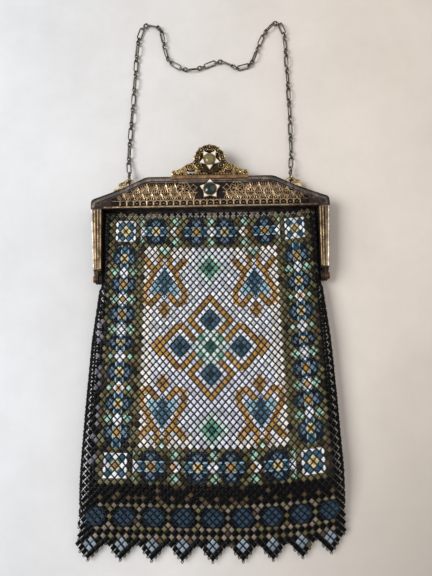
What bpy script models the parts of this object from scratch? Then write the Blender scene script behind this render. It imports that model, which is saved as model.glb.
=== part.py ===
"""An enamelled mesh evening bag, lying on its back on a table.

A pierced metal frame in two halves hinges at its lower ends. A mesh pouch hangs from it, and a
crest on the top rail works the latch. X is the bag's width, +Y points up the bag towards the
crest, and +Z points up from the table to the front of the bag.
"""

import math

import bmesh
import bpy
from mathutils import Matrix

MM = 0.001  # the dimensions below are in millimetres

# Frame outline: one bar across the top and two arms down to the hinges.
FRAME_HALF_WIDTH = 63.5
BAR_BOTTOM = 69.7
BAR_TOP = 87.0
FLAT_TOP_HALF_WIDTH = 34.0
SHOULDER = (48.0, 80.3)
CORNER_TOP = 75.4
CORNER_RADIUS = 2.4
HALF_DEPTH = 4.7  # of each half of the frame
JOINT_GAP = 0.3  # between neighbouring pieces
MIDDLE_Z = HALF_DEPTH + JOINT_GAP / 2  # the plane where the halves meet
WALL = 1.3

# The pierced plates set into the faces of the bar.
RAIL_WIDTH = 3.0
BAND_HALF_WIDTH = 52.5
BAND_BOTTOM = 71.0
RECESS_DEPTH = 1.3
PLATE_THICKNESS = 0.8
PLATE = 3.55  # sideways spacing of the mesh plates, and of the slots that hold them
SLOT_Y = 72.2
SLOT_SIZE = (1.7, 1.5)
SLOTS_EACH_SIDE = 13
LATTICE_PITCH = 2.5
LATTICE_ROWS = ((74.0, 77.6), (78.4, 82.6))
LATTICE_WEB = 0.45
STAR_CENTRE = 79.6
STAR_TIP = 5.3
STAR_CLEAR = 6.6
ROSETTE_X, ROSETTE_Y, ROSETTE_RADIUS = 14.3, 79.3, 3.4
DIAMOND_X, DIAMOND_SIZE = 8.9, 1.3

# Arms and hinge.
ARM_TOP = (57.8, 63.5)  # inner and outer edge at the bar
ARM_END = (57.2, 60.9)  # and at the hinge
ARM_TOP_Y = BAR_BOTTOM - JOINT_GAP
ARM_DEPTH = 4.3
HINGE_Y = 32.5
KNUCKLE_RADIUS = 2.6
KNUCKLE_TOP_Y = 36.2
KNUCKLE_SPLIT = 59.0
PIN_RADIUS = 1.0
PIN_HOLE_RADIUS = 1.3
PIN_HEAD_RADIUS = 1.9
PIN_HEAD_LENGTH = 0.8

# Mesh pouch.
MESH_THICKNESS = 2.0
MESH_TOP_Y = BAR_BOTTOM - 0.4
MESH_TOP_HALF_WIDTH = 56.8
POUCH_TOP_Y = 27.6
POUCH_TOP_Z = 8.5
POUCH_FLAT_TO_Y = -62.0
POUCH_END_Y = -97.0
POUCH_END_Z = 4.4
POUCH_EDGE = ((0, 0), (0, 0.4), (0.8, 0.75), (2.4, 0.95))  # how each side turns down: inset, rise
POUCH_EDGE_WIDTH = 4.5
SIDES = ((28.6, 58.4), (0.0, 61.6), (-30.0, 63.4), (-60.0, 64.8), (-94.0, 66.0))
VALLEY_Y = -98.7
TIP_Y = -105.0
POINTS = 9
UPPER_MESH_Y = (32.8, MESH_TOP_Y)
UPPER_MESH_Z = (6.5, 8.5)

# Crest, its hinge and the latch.
CREST_HALF_WIDTH = 20.6
CREST_CENTRE_Y = 96.8
CREST_ROUND_RADIUS = 8.2
CREST_PLATE_Z = (6.9, 8.3)
CREST_PIVOT = (88.9, 7.1)  # Y and Z of its pin
CREST_BARREL_RADIUS = 1.3
CREST_PIN_RADIUS = 0.6
CREST_HOLE_RADIUS = 0.9
CREST_EAR_X = (12.2, 13.4)
CREST_PIN_END = 13.9
CREST_STRIP_Y = (85.3, 87.2)
CREST_STRIP_Z = (10.0, 10.8)
SPRING_X = (-11.3, -6.6)
SPRING_RADIUS = 1.12
SPRING_WIRE = 0.2
SPRING_TURNS = 6
STONE_RADIUS = 3.3
CREST_STONE_RADIUS = 2.9

# Chain and the loops that hold it.
LUG_X = 44.5
LUG_Z = (2.9, 4.7)
LOOP_Y = 87.4  # the bridge of the loop, and the chain's swing axis
LOOP_Z = 3.8
LOOP_HOLE = (85.4, 1.3)
END_RING_Y = 88.2
END_RING_RADIUS = 2.5
END_RING_WIRE = 0.4
CHAIN_RADIUS = 1.5
CHAIN_POINTS = 46
CHAIN_Z = 1.6
CHAIN_START_Y = 91.5
CHAIN_ROUTE = (
    (-44.5, CHAIN_START_Y, LOOP_Z), (-45.0, 95.8, 3.0), (-45.3, 100.9, CHAIN_Z),
    (-45.2, 107.6, CHAIN_Z), (-44.2, 122.5, CHAIN_Z), (-43.0, 140.5, CHAIN_Z),
    (-42.0, 158.2, CHAIN_Z), (-41.1, 171.8, CHAIN_Z), (-39.5, 181.0, CHAIN_Z),
    (-35.1, 185.9, CHAIN_Z), (-29.6, 184.2, CHAIN_Z), (-26.5, 178.5, CHAIN_Z),
    (-25.6, 170.5, CHAIN_Z), (-23.3, 162.8, CHAIN_Z), (-18.1, 158.0, CHAIN_Z),
    (-10.6, 155.8, CHAIN_Z), (-2.6, 157.7, CHAIN_Z), (5.0, 160.6, CHAIN_Z),
    (11.3, 160.3, CHAIN_Z), (16.0, 156.8, CHAIN_Z), (21.4, 156.7, CHAIN_Z),
    (26.3, 161.6, CHAIN_Z), (29.6, 170.5, CHAIN_Z), (34.2, 180.1, CHAIN_Z),
    (39.1, 185.4, CHAIN_Z), (43.8, 183.7, CHAIN_Z), (45.1, 176.3, CHAIN_Z),
    (45.5, 160.5, CHAIN_Z), (45.8, 144.6, CHAIN_Z), (46.0, 124.6, CHAIN_Z),
    (45.8, 107.2, CHAIN_Z), (45.6, 100.4, CHAIN_Z), (45.1, 95.6, 3.0),
    (44.5, CHAIN_START_Y, LOOP_Z),
)


def collection(name):
    made = bpy.data.collections.new(name)
    bpy.context.scene.collection.children.link(made)
    return made


def material(name, color, roughness, metallic):
    made = bpy.data.materials.new(name)
    made.use_nodes = True
    shader = made.node_tree.nodes["Principled BSDF"]
    shader.inputs["Base Color"].default_value = (*color, 1.0)
    shader.inputs["Roughness"].default_value = roughness
    shader.inputs["Metallic"].default_value = metallic
    return made


def axis_empty(name, location, parent=None):
    """An empty on a joint's axis, which the pieces that turn there are parented to."""
    empty = bpy.data.objects.new(name, None)
    empty.location = [value * MM for value in location]
    parts.objects.link(empty)
    bpy.context.view_layer.update()
    if parent:
        attach(empty, parent)
    return empty


def attach(piece, parent):
    piece.parent = parent
    piece.matrix_parent_inverse = parent.matrix_world.inverted()
    bpy.context.view_layer.update()


def finish_piece(name, mesh, finish, parent=None, smooth=False):
    mesh.name = name
    piece = bpy.data.objects.new(name, mesh)
    mesh.materials.clear()
    mesh.materials.append(finish)
    if smooth:
        mesh.shade_smooth()
        mesh.set_sharp_from_angle(angle=math.radians(40))
    parts.objects.link(piece)
    bpy.context.view_layer.update()
    if parent:
        attach(piece, parent)
    return piece


def mesh_of_curve(curve):
    """The curve's mesh with its caps welded on."""
    holder = bpy.data.objects.new("curve", curve)
    bpy.context.scene.collection.objects.link(holder)
    bpy.context.view_layer.update()
    graph = bpy.context.evaluated_depsgraph_get()
    mesh = bpy.data.meshes.new_from_object(holder.evaluated_get(graph))
    bpy.data.objects.remove(holder)
    shape = bmesh.new()
    shape.from_mesh(mesh)
    bmesh.ops.remove_doubles(shape, verts=shape.verts, dist=1e-6)
    bmesh.ops.recalc_face_normals(shape, faces=shape.faces)
    shape.to_mesh(mesh)
    shape.free()
    return mesh


def prism(outlines, low, high, along="Z"):
    """Closed outlines, holes included, pulled from low to high along Z, or along X from (y, z) points."""
    curve = bpy.data.curves.new("outline", "CURVE")
    curve.dimensions = "2D"
    curve.fill_mode = "BOTH"
    curve.extrude = (high - low) / 2 * MM
    for outline in outlines:
        spline = curve.splines.new("POLY")
        spline.points.add(len(outline) - 1)
        for point, (u, v) in zip(spline.points, outline):
            point.co = (u * MM, v * MM, 0, 1)
        spline.use_cyclic_u = True
    mesh = mesh_of_curve(curve)
    mesh.transform(Matrix.Translation((0, 0, (low + high) / 2 * MM)))
    if along == "X":
        mesh.transform(Matrix(((0, 0, 1, 0), (1, 0, 0, 0), (0, 1, 0, 0), (0, 0, 0, 1))))
    return mesh


def rod(start, end, radius, sides=24):
    """A cylinder along X between two points."""
    shape = bmesh.new()
    length = (end[0] - start[0]) * MM
    bmesh.ops.create_cone(
        shape, cap_ends=True, segments=sides, radius1=radius * MM, radius2=radius * MM, depth=length
    )
    middle = [(a + b) / 2 * MM for a, b in zip(start, end)]
    turn = Matrix.Rotation(math.pi / 2, 4, "Y")
    bmesh.ops.transform(shape, matrix=Matrix.Translation(middle) @ turn, verts=shape.verts)
    mesh = bpy.data.meshes.new("rod")
    shape.to_mesh(mesh)
    shape.free()
    return mesh


def box(low, high):
    shape = bmesh.new()
    bmesh.ops.create_cube(shape, size=1)
    size = [(b - a) * MM for a, b in zip(low, high)]
    middle = [(a + b) / 2 * MM for a, b in zip(low, high)]
    bmesh.ops.transform(
        shape, matrix=Matrix.Translation(middle) @ Matrix.Diagonal((*size, 1)), verts=shape.verts
    )
    mesh = bpy.data.meshes.new("box")
    shape.to_mesh(mesh)
    shape.free()
    return mesh


def combined(base, operation, others):
    """The base mesh after a Boolean with each of the others."""
    for other in others:
        holders = []
        for name, mesh in (("base", base), ("cutter", other)):
            holder = bpy.data.objects.new(name, mesh)
            holder.hide_render = name == "cutter"
            cutters.objects.link(holder)
            holders.append(holder)
        boolean = holders[0].modifiers.new("boolean", "BOOLEAN")
        boolean.operation = operation
        boolean.object = holders[1]
        bpy.context.view_layer.update()
        graph = bpy.context.evaluated_depsgraph_get()
        base = bpy.data.meshes.new_from_object(holders[0].evaluated_get(graph))
        for holder in holders:
            bpy.data.objects.remove(holder)
    return base


def turned(name, profile, location, finish, parent, steps=28):
    """A round piece turned about Z from an (r, z) profile that runs down its outside."""
    mesh = bpy.data.meshes.new(name)
    points = [(r * MM, 0, z * MM) for r, z in profile]
    mesh.from_pydata(points, [(i, i + 1) for i in range(len(points) - 1)], [])
    piece = finish_piece(name, mesh, finish)
    piece.location = [value * MM for value in location]
    screw = piece.modifiers.new("turn", "SCREW")
    screw.steps = steps
    screw.render_steps = steps
    screw.use_merge_vertices = True
    screw.merge_threshold = 1e-6
    screw.use_smooth_shade = True
    bpy.context.view_layer.update()
    attach(piece, parent)
    return piece


def ring_around(name, points, radius, finish, parent=None, cyclic=False):
    """A round wire through the points."""
    curve = bpy.data.curves.new(name, "CURVE")
    curve.dimensions = "3D"
    curve.bevel_depth = radius * MM
    curve.bevel_resolution = 2
    curve.use_fill_caps = not cyclic
    spline = curve.splines.new("POLY")
    spline.points.add(len(points) - 1)
    for point, place in zip(spline.points, points):
        point.co = (*[value * MM for value in place], 1)
    spline.use_cyclic_u = cyclic
    curve.materials.append(finish)
    piece = bpy.data.objects.new(name, curve)
    parts.objects.link(piece)
    bpy.context.view_layer.update()
    if parent:
        attach(piece, parent)
    return piece


def arc(centre, radius, start, end, count):
    """Points on an arc, with its angles in degrees."""
    angles = [math.radians(start + (end - start) * i / (count - 1)) for i in range(count)]
    return [(centre[0] + radius * math.cos(a), centre[1] + radius * math.sin(a)) for a in angles]


def mirrored(points, side):
    """The points for the right side, or for the left side in the same turning sense."""
    if side > 0:
        return list(points)
    return [(-x, y) for x, y in reversed(points)]


def both_sides(right_half):
    """A closed outline from its right half, which runs from the bottom up."""
    return list(right_half) + [(-x, y) for x, y in reversed(right_half)]


# Frame


def bar_outline(inset=0.0):
    corner = (FRAME_HALF_WIDTH - CORNER_RADIUS - inset, CORNER_TOP - CORNER_RADIUS - inset)
    right = [(FRAME_HALF_WIDTH - inset, BAR_BOTTOM + inset)]
    right += arc(corner, CORNER_RADIUS, 0, 65, 5)
    right.append((SHOULDER[0], SHOULDER[1] - inset))
    right.append((FLAT_TOP_HALF_WIDTH + 1.0 - inset * 0.3, BAR_TOP - 0.4 - inset))
    right.append((FLAT_TOP_HALF_WIDTH - 1.0 - inset * 0.3, BAR_TOP - inset))
    return both_sides(right)


def rail_height(x, drop=RAIL_WIDTH):
    """The lower edge of the top rail at x."""
    x = abs(x)
    if x < FLAT_TOP_HALF_WIDTH:
        return BAR_TOP - drop
    if x < SHOULDER[0]:
        share = (x - FLAT_TOP_HALF_WIDTH) / (SHOULDER[0] - FLAT_TOP_HALF_WIDTH)
        return BAR_TOP + share * (SHOULDER[1] - BAR_TOP) - drop
    share = (x - SHOULDER[0]) / (FRAME_HALF_WIDTH - CORNER_RADIUS - SHOULDER[0])
    return SHOULDER[1] + share * (CORNER_TOP - SHOULDER[1]) - drop


def band_outline(inset=0.0):
    side = BAND_HALF_WIDTH - inset
    right = [(side, BAND_BOTTOM + inset), (side, rail_height(side) - inset)]
    right.append((SHOULDER[0], rail_height(SHOULDER[0]) - inset))
    right.append((FLAT_TOP_HALF_WIDTH, rail_height(FLAT_TOP_HALF_WIDTH - 0.1) - inset))
    return both_sides(right)


def slots():
    width, height = (size / 2 for size in SLOT_SIZE)
    for i in range(-SLOTS_EACH_SIDE, SLOTS_EACH_SIDE + 1):
        x = i * PLATE
        yield [
            (x - width, SLOT_Y - height), (x + width, SLOT_Y - height),
            (x + width, SLOT_Y + height), (x - width, SLOT_Y + height),
        ]


def in_ornament(x, row):
    """Whether a lattice opening at x would meet the star, a rosette or a diamond."""
    if abs(x) < STAR_CLEAR:
        return True
    near_rosette = abs(abs(x) - ROSETTE_X) < ROSETTE_RADIUS + LATTICE_PITCH / 2
    near_diamond = abs(abs(x) - DIAMOND_X) < DIAMOND_SIZE + LATTICE_PITCH / 2
    return row == 1 and (near_rosette or near_diamond)


def lattice():
    """Triangular openings, point up and point down in turn."""
    for row, (low, high) in enumerate(LATTICE_ROWS):
        for i in range(-18, 19):
            x = (i + 0.5) * LATTICE_PITCH
            top = min(high, rail_height(x) - 1.0)
            if in_ornament(x, row) or top - low < 1.6 or row == 0 and near_rosette_foot(x):
                continue
            half = LATTICE_PITCH - LATTICE_WEB * 1.6
            if (i + row) % 2:
                yield [(x - half, low), (x + half, low), (x, top)]
            else:
                yield [(x, low), (x + half, top), (x - half, top)]


def near_rosette_foot(x):
    return abs(abs(x) - ROSETTE_X) < 1.3


def rosettes():
    """Six petal openings round each rosette's middle, and one in each small diamond."""
    for side in (-1, 1):
        for petal in range(6):
            turn = math.radians(60 * petal + 30)
            outline = []
            for along, across in ((1.0, 0), (2.1, -0.62), (3.0, 0), (2.1, 0.62)):
                x = along * math.cos(turn) - across * math.sin(turn)
                y = along * math.sin(turn) + across * math.cos(turn)
                outline.append((side * ROSETTE_X + x, ROSETTE_Y + 0.9 + y))
            yield outline
        x, y, size = side * DIAMOND_X, ROSETTE_Y + 1.2, DIAMOND_SIZE
        yield [(x - size, y), (x, y - size), (x + size, y), (x, y + size)]


def pierced_outlines():
    openings = [list(opening) for opening in (*slots(), *clear_lattice(), *rosettes())]
    return [band_outline(JOINT_GAP), *openings]


def clear_lattice():
    """Neighbouring openings share a web, so each is drawn a little in towards its own middle."""
    for opening in lattice():
        middle = [sum(values) / len(opening) for values in zip(*opening)]
        yield [
            tuple(m + (value - m) * 0.5 if k == 0 else m + (value - m) * 0.84
                  for k, (m, value) in enumerate(zip(middle, point)))
            for point in opening
        ]


def flipped(mesh):
    """The same shape on the other side of the plane where the halves meet."""
    mesh.transform(
        Matrix.Translation((0, 0, 2 * MIDDLE_Z * MM)) @ Matrix.Diagonal((1, 1, -1, 1))
    )
    mesh.flip_normals()
    return mesh


def bar_mesh():
    """The front bar: a channel with a recess in its face for the pierced plate."""
    low = MIDDLE_Z + JOINT_GAP / 2
    high = low + HALF_DEPTH
    base = prism([bar_outline()], low, high)
    recess = prism([band_outline()], high - RECESS_DEPTH, high + 1)
    pocket = prism([bar_outline(WALL)], low - 1, high - RECESS_DEPTH - 1.1)
    return combined(base, "DIFFERENCE", [recess, pocket])


def plate_mesh():
    high = MIDDLE_Z + JOINT_GAP / 2 + HALF_DEPTH - 0.2
    return prism(pierced_outlines(), high - PLATE_THICKNESS, high)


def arm_mesh(side, knuckle_inside):
    """A front arm, from the bar down to its hinge knuckle."""
    low = MIDDLE_Z + JOINT_GAP / 2
    high = low + ARM_DEPTH
    bottom = HINGE_Y - KNUCKLE_RADIUS - 1
    plan = [(ARM_END[0], bottom), (ARM_END[1], bottom), (ARM_TOP[1], ARM_TOP_Y), (ARM_TOP[0], ARM_TOP_Y)]
    profile = [(ARM_TOP_Y + 1, low), (ARM_TOP_Y + 1, high), (38.5, high)]
    profile += arc((HINGE_Y, MIDDLE_Z), KNUCKLE_RADIUS, 75, 356, 20)
    profile.append((KNUCKLE_TOP_Y, low))
    outer = max(ARM_TOP[1], ARM_END[1]) + 1
    spans = sorted((side * (ARM_END[0] - 1), side * outer))
    arm = prism([mirrored(plan, side)], low - 5, high + 1)
    arm = combined(arm, "INTERSECT", [prism([profile], *spans, along="X")])
    edge = KNUCKLE_SPLIT - 0.15 if knuckle_inside else KNUCKLE_SPLIT + 0.15
    cut_away = sorted((side * edge, side * (outer if knuckle_inside else ARM_END[0] - 1)))
    notch = box((cut_away[0], bottom - 1, low - 6), (cut_away[1], KNUCKLE_TOP_Y, high + 2))
    ends = sorted((side * (ARM_END[0] - 2), side * outer))
    hole = rod((ends[0], HINGE_Y, MIDDLE_Z), (ends[1], HINGE_Y, MIDDLE_Z), PIN_HOLE_RADIUS)
    return combined(arm, "DIFFERENCE", [notch, hole])


def hinge_pin(side):
    ends = sorted((side * (ARM_END[0] - 0.3), side * (ARM_END[1] + 0.5)))
    shank = rod((ends[0], HINGE_Y, MIDDLE_Z), (ends[1], HINGE_Y, MIDDLE_Z), PIN_RADIUS)
    start = ARM_END[1] + 0.4
    heads = sorted((side * start, side * (start + PIN_HEAD_LENGTH)))
    head = rod((heads[0], HINGE_Y, MIDDLE_Z), (heads[1], HINGE_Y, MIDDLE_Z), PIN_HEAD_RADIUS)
    return combined(shank, "UNION", [head])


def make_frame(front):
    finish_piece("front_bar", bar_mesh(), brass, front)
    finish_piece("front_pierced_plate", plate_mesh(), brass, front)
    finish_piece("back_bar", flipped(bar_mesh()), brass)
    finish_piece("back_pierced_plate", flipped(plate_mesh()), brass)
    for side, word in ((-1, "left"), (1, "right")):
        finish_piece(f"front_arm_{word}", arm_mesh(side, False), brass, front)
        finish_piece(f"back_arm_{word}", flipped(arm_mesh(side, True)), brass)
        finish_piece(f"hinge_pin_{word}", hinge_pin(side), copper, smooth=True)


# Mesh pouch


def half_width(y):
    """Half the pouch's width at y."""
    if y >= SIDES[0][0]:
        return SIDES[0][1]
    for (y_high, w_high), (y_low, w_low) in zip(SIDES, SIDES[1:]):
        if y >= y_low:
            return w_low + (w_high - w_low) * (y - y_low) / (y_high - y_low)
    return SIDES[-1][1]


def back_mesh_outline():
    """Straight between the arms, flared below them, and cut in points along the bottom."""
    right = [(w, y) for y, w in reversed(SIDES)]
    right += [(MESH_TOP_HALF_WIDTH, HINGE_Y), (MESH_TOP_HALF_WIDTH, MESH_TOP_Y)]
    width = SIDES[-1][1]
    step = 2 * width / POINTS
    bottom = []
    for i in range(POINTS):
        left = -width + i * step
        bottom += [(left, VALLEY_Y), (left + step * 0.46, TIP_Y), (left + step * 0.54, TIP_Y)]
    return bottom + [(width, VALLEY_Y)] + both_sides(right)


def pouch_top_z(y):
    """Height of the front mesh, which drops to the back mesh at the bottom."""
    if y > POUCH_FLAT_TO_Y:
        return POUCH_TOP_Z
    share = (POUCH_FLAT_TO_Y - y) / (POUCH_FLAT_TO_Y - POUCH_END_Y)
    return POUCH_TOP_Z - (POUCH_TOP_Z - POUCH_END_Z) * share * share * (3 - 2 * share)


def pouch_front():
    """An open sheet over the pouch, turned down along both sides and the bottom, then thickened."""
    edge_z = MESH_THICKNESS + JOINT_GAP
    rows = [POUCH_TOP_Y, 0.0, -30.0, -60.0, -72.0, -82.0, -90.0, -95.5, POUCH_END_Y, POUCH_END_Y]
    columns = 12
    points = []
    for number, y in enumerate(rows):
        top = edge_z if number == len(rows) - 1 else pouch_top_z(y)
        width = half_width(y)
        rise = top - edge_z
        turn_down = [(width - inset, y, edge_z + rise * share) for inset, share in POUCH_EDGE]
        points += [(-x, y, z) for x, y, z in turn_down]
        for i in range(columns + 1):
            points.append(((width - POUCH_EDGE_WIDTH) * (2 * i / columns - 1), y, top))
        points += reversed(turn_down)
    across = columns + 1 + 2 * len(POUCH_EDGE)
    faces = []
    for row in range(len(rows) - 1):
        for i in range(across - 1):
            a = row * across + i
            faces.append((a, a + across, a + across + 1, a + 1))
    mesh = bpy.data.meshes.new("front_mesh_lower")
    mesh.from_pydata([[value * MM for value in point] for point in points], [], faces)
    shape = bmesh.new()
    shape.from_mesh(mesh)
    bmesh.ops.remove_doubles(shape, verts=shape.verts, dist=2e-5)
    shape.to_mesh(mesh)
    shape.free()
    return mesh


def make_pouch(front):
    finish_piece("back_mesh", prism([back_mesh_outline()], 0, MESH_THICKNESS), enamel)
    lower = finish_piece("front_mesh_lower", pouch_front(), enamel)
    thicken = lower.modifiers.new("thickness", "SOLIDIFY")
    thicken.thickness = MESH_THICKNESS * MM
    thicken.offset = -1
    upper = box(
        (-MESH_TOP_HALF_WIDTH, UPPER_MESH_Y[0], UPPER_MESH_Z[0]),
        (MESH_TOP_HALF_WIDTH, UPPER_MESH_Y[1], UPPER_MESH_Z[1]),
    )
    finish_piece("front_mesh_upper", upper, enamel, front)


# Star on the bar


def star_outline(tip, valley, point_up, centre_y):
    start = 90 if point_up else -90
    outline = []
    for i in range(5):
        for turn, radius in ((0, tip), (36, valley)):
            angle = math.radians(start + 72 * i + turn)
            outline.append((radius * math.cos(angle), centre_y + radius * math.sin(angle)))
    return outline


def star_mesh(tip, hole, point_up, centre_y, low, high):
    outline = star_outline(tip, hole + 0.5, point_up, centre_y)
    return prism([outline, arc((0, centre_y), hole, 0, 345, 24)], low, high)


def dome(radius, low, high, count=7):
    """Profile of a domed stone with a flat back, from its top down its outside."""
    band = low + (high - low) * 0.25
    profile = []
    for i in range(count):
        angle = math.radians(90 - 90 * i / (count - 1))
        profile.append((radius * math.cos(angle), band + (high - band) * math.sin(angle)))
    profile[0] = (0.0, high)
    return profile + [(radius, low), (0.0, low)]


def make_star(front):
    low = MIDDLE_Z + JOINT_GAP / 2 + HALF_DEPTH + 0.1
    collar = star_mesh(STAR_TIP, STONE_RADIUS + 0.3, True, STAR_CENTRE, low, low + 0.8)
    finish_piece("star_collar", collar, ivory, front)
    turned("star_stone", dome(STONE_RADIUS, 0, 2.1), (0, STAR_CENTRE, low), green_glass, front)


# Crest and latch


def crest_outline():
    centre = (0, CREST_CENTRE_Y)
    right = [(CREST_HALF_WIDTH - 2.6, 88.0)]
    right += arc((CREST_HALF_WIDTH - 1.5, 89.0), 1.5, -130, 130, 9)
    right += [(15.6, 91.4), (12.4, 93.9), (9.2, 95.6)]
    right += arc(centre, CREST_ROUND_RADIUS, 4, 84, 9)
    return both_sides(right)


def crest_mesh():
    y, z = CREST_PIVOT
    mesh = prism([crest_outline()], *CREST_PLATE_Z)
    low, high = SPRING_X[1] + 0.5, CREST_EAR_X[0] - 0.4
    mesh = combined(mesh, "UNION", [rod((low, y, z), (high, y, z), CREST_BARREL_RADIUS, 20)])
    window = box((-CREST_EAR_X[0], 85, 5), (SPRING_X[1] + 0.5, 90.8, 10))
    cuts = [window, rod((low - 0.5, y, z), (high + 0.5, y, z), CREST_HOLE_RADIUS, 20)]
    for side in (-1, 1):
        edges = sorted((side * (CREST_EAR_X[0] - 0.4), side * (CREST_PIN_END + 0.4)))
        cuts.append(box((edges[0], 85, 5), (edges[1], 91.2, 10)))
    return combined(mesh, "DIFFERENCE", cuts)


def crest_base_mesh():
    """The strip on the rail's face, with two ears that reach over the bar to the pin."""
    low_y, high_y = CREST_STRIP_Y
    low_z, high_z = CREST_STRIP_Z
    y, z = CREST_PIVOT
    strip = box((-CREST_HALF_WIDTH, low_y, low_z), (CREST_HALF_WIDTH, high_y, high_z))
    ear = [(low_y + 0.5, low_z + 0.1), (87.4, low_z + 0.1), (87.4, z - 1.2), (90.5, z - 1.2)]
    ear += [(90.5, high_z - 1.2), (89.6, high_z), (low_y + 0.5, high_z)]
    ears = []
    for side in (-1, 1):
        edges = sorted(side * value for value in CREST_EAR_X)
        ears.append(prism([ear], *edges, along="X"))
    base = combined(strip, "UNION", ears)
    return combined(base, "DIFFERENCE", [rod((-22, y, z), (22, y, z), CREST_HOLE_RADIUS, 20)])


def rim_mesh():
    """The scalloped ring round the crest's stone."""
    lobes = 9
    outline = []
    for i in range(lobes * 6):
        turn = 2 * math.pi * i / (lobes * 6)
        radius = 7.6 + 0.55 * abs(math.sin(turn * lobes / 2))
        outline.append((radius * math.cos(turn + 0.17), CREST_CENTRE_Y + radius * math.sin(turn + 0.17)))
    hole = arc((0, CREST_CENTRE_Y), 5.9, 0, 350, 36)
    return prism([outline, hole], CREST_PLATE_Z[1] + 0.4, CREST_PLATE_Z[1] + 1.6)


def spring_points():
    y, z = CREST_PIVOT
    count = SPRING_TURNS * 12
    for i in range(count + 1):
        turn = 2 * math.pi * i / 12
        x = SPRING_X[0] + 0.3 + (SPRING_X[1] - SPRING_X[0] - 0.6) * i / count
        yield (x, y + SPRING_RADIUS * math.cos(turn), z + SPRING_RADIUS * math.sin(turn))


def make_crest(front):
    y, z = CREST_PIVOT
    crest = axis_empty("crest_axis", (0, y, z), front)
    finish_piece("crest_base", crest_base_mesh(), orange_brass, front)
    pin = rod((-CREST_PIN_END, y, z), (CREST_PIN_END, y, z), CREST_PIN_RADIUS, 16)
    finish_piece("crest_pivot_pin", pin, steel, front, smooth=True)
    ring_around("crest_spring", list(spring_points()), SPRING_WIRE, steel, front)
    finish_piece("crest_plate", crest_mesh(), brass, crest)
    finish_piece("crest_rim", rim_mesh(), brass, crest)
    low = CREST_PLATE_Z[1] + 0.3
    star = star_mesh(5.5, CREST_STONE_RADIUS + 0.3, False, CREST_CENTRE_Y, low, low + 0.8)
    finish_piece("crest_star_collar", star, ivory, crest)
    stone = dome(CREST_STONE_RADIUS, 0, 2.2)
    turned("crest_stone", stone, (0, CREST_CENTRE_Y, low), yellow_glass, crest)
    under_barrel = z - CREST_BARREL_RADIUS - 0.3
    hook = [(87.4, 2.2), (88.9, 2.2), (89.3, under_barrel), (87.8, under_barrel)]
    finish_piece("latch_hook", prism([hook], -2.5, 2.5, along="X"), steel, crest)


# Chain and lugs


def slope_height(x):
    return rail_height(x, 0.0)


def lug_outline(side):
    """A leaf that stands on the shoulder, with a hole for the chain's end ring."""
    right = [(LUG_X - 4.0, slope_height(LUG_X - 4.0) + 0.35)]
    right += [(LUG_X - 3.3, 86.2), (LUG_X - 2.4, 87.2), (LUG_X - 1.0, 88.0), (LUG_X + 1.0, 88.1)]
    right += [(LUG_X + 2.4, 87.0), (LUG_X + 4.2, 86.2), (LUG_X + 5.6, 84.6), (LUG_X + 5.2, 83.2)]
    right += [(LUG_X + 7.6, 82.6), (LUG_X + 8.6, 81.0), (LUG_X + 7.0, slope_height(LUG_X + 7.0) + 0.35)]
    right.append((SHOULDER[0], SHOULDER[1] + 0.45))
    return mirrored(right, side)


def lug_mesh(side):
    hole = arc((side * LUG_X, LOOP_HOLE[0]), LOOP_HOLE[1], 0, 340, 18)
    return prism([lug_outline(side), hole], *LUG_Z)


def end_ring_points(side):
    for i in range(20):
        turn = 2 * math.pi * i / 20
        y = END_RING_Y + END_RING_RADIUS * math.cos(turn)
        yield (side * LUG_X, y, LOOP_Z + END_RING_RADIUS * math.sin(turn))


def smooth_route(route, count):
    """Points at even steps along a smooth curve through the route's points."""
    fine = []
    ends = [route[0], *route, route[-1]]
    for before, here, there, after in zip(ends, ends[1:], ends[2:], ends[3:]):
        for step in range(16):
            t = step / 16
            fine.append(tuple(
                0.5 * (2 * b + (c - a) * t + (2 * a - 5 * b + 4 * c - d) * t * t
                       + (3 * b - a - 3 * c + d) * t * t * t)
                for a, b, c, d in zip(before, here, there, after)
            ))
    fine.append(route[-1])
    lengths = [0.0]
    for start, end in zip(fine, fine[1:]):
        lengths.append(lengths[-1] + math.dist(start, end))
    points, k = [], 0
    for i in range(count):
        target = lengths[-1] * i / (count - 1)
        while k < len(fine) - 2 and lengths[k + 1] < target:
            k += 1
        share = (target - lengths[k]) / (lengths[k + 1] - lengths[k])
        points.append(tuple(a + (b - a) * share for a, b in zip(fine[k], fine[k + 1])))
    return points


def make_chain():
    swing = axis_empty("chain_axis", (0, LOOP_Y, LOOP_Z))
    for side, word in ((-1, "left"), (1, "right")):
        finish_piece(f"lug_{word}", lug_mesh(side), brass)
        points = list(end_ring_points(side))
        ring_around(f"chain_end_ring_{word}", points, END_RING_WIRE, steel, swing, cyclic=True)
    route = smooth_route(CHAIN_ROUTE, CHAIN_POINTS)
    ring_around("chain", route, CHAIN_RADIUS, steel, swing)


for stale in list(bpy.data.objects):
    bpy.data.objects.remove(stale)
parts = collection("mesh_evening_bag")
cutters = collection("cutters")
cutters.hide_render = True

brass = material("brass", (0.46, 0.31, 0.15), 0.42, 1.0)
orange_brass = material("orange_brass", (0.62, 0.33, 0.14), 0.38, 1.0)
copper = material("copper", (0.45, 0.2, 0.1), 0.4, 1.0)
steel = material("antique_nickel", (0.3, 0.28, 0.25), 0.4, 1.0)
enamel = material("enamelled_mesh", (0.5, 0.5, 0.55), 0.45, 0.2)
ivory = material("ivory_enamel", (0.84, 0.78, 0.68), 0.3, 0.0)
green_glass = material("green_glass", (0.01, 0.05, 0.05), 0.1, 0.0)
yellow_glass = material("yellow_glass", (0.42, 0.4, 0.12), 0.15, 0.0)

front_frame = axis_empty("front_frame_axis", (0, HINGE_Y, MIDDLE_Z))
make_frame(front_frame)
make_pouch(front_frame)
make_star(front_frame)
make_crest(front_frame)
make_chain()
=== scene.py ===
import math
import random

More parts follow.
